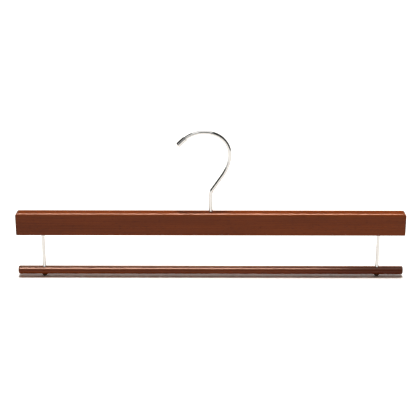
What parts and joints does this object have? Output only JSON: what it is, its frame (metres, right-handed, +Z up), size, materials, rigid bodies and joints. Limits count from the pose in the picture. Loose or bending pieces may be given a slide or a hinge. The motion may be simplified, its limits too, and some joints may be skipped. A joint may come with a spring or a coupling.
{
  "type": "trouser hanger",
  "caption": "Wooden trouser hanger: a top bar with a swivelling chrome hook carries a round lower bar on headed rods.",
  "frame": {"origin": "underside of the hook wire at the highest point of its crown, where the hanger sits on a rail", "axes": "+Z up along the hook's stem; +X along the two bars, away from the side on which the hook opens; the front faces -Y"},
  "size_m": [0.4, 0.013, 0.1565],
  "materials": {
    "wood": "reddish brown stain under gloss lacquer",
    "chrome": "bright chrome plate on steel wire",
    "plated_steel": "zinc plate"
  },
  "bodies": {
    "hanger": {"top_bar": "wood", "lower_bar": "wood", "left_rod": "chrome", "right_rod": "chrome", "hook_washer": "plated_steel"},
    "swivel": {"hook": "chrome", "hook_tip": "chrome", "hook_nut": "plated_steel"}
  },
  "joints": [
    {"name": "hook_swivel", "type": "hinge", "parent": "hanger", "child": "swivel", "pos_m": [0.00682, 0, -0.08214], "axis": [0, 0, 1], "continuous": true}
  ]
}
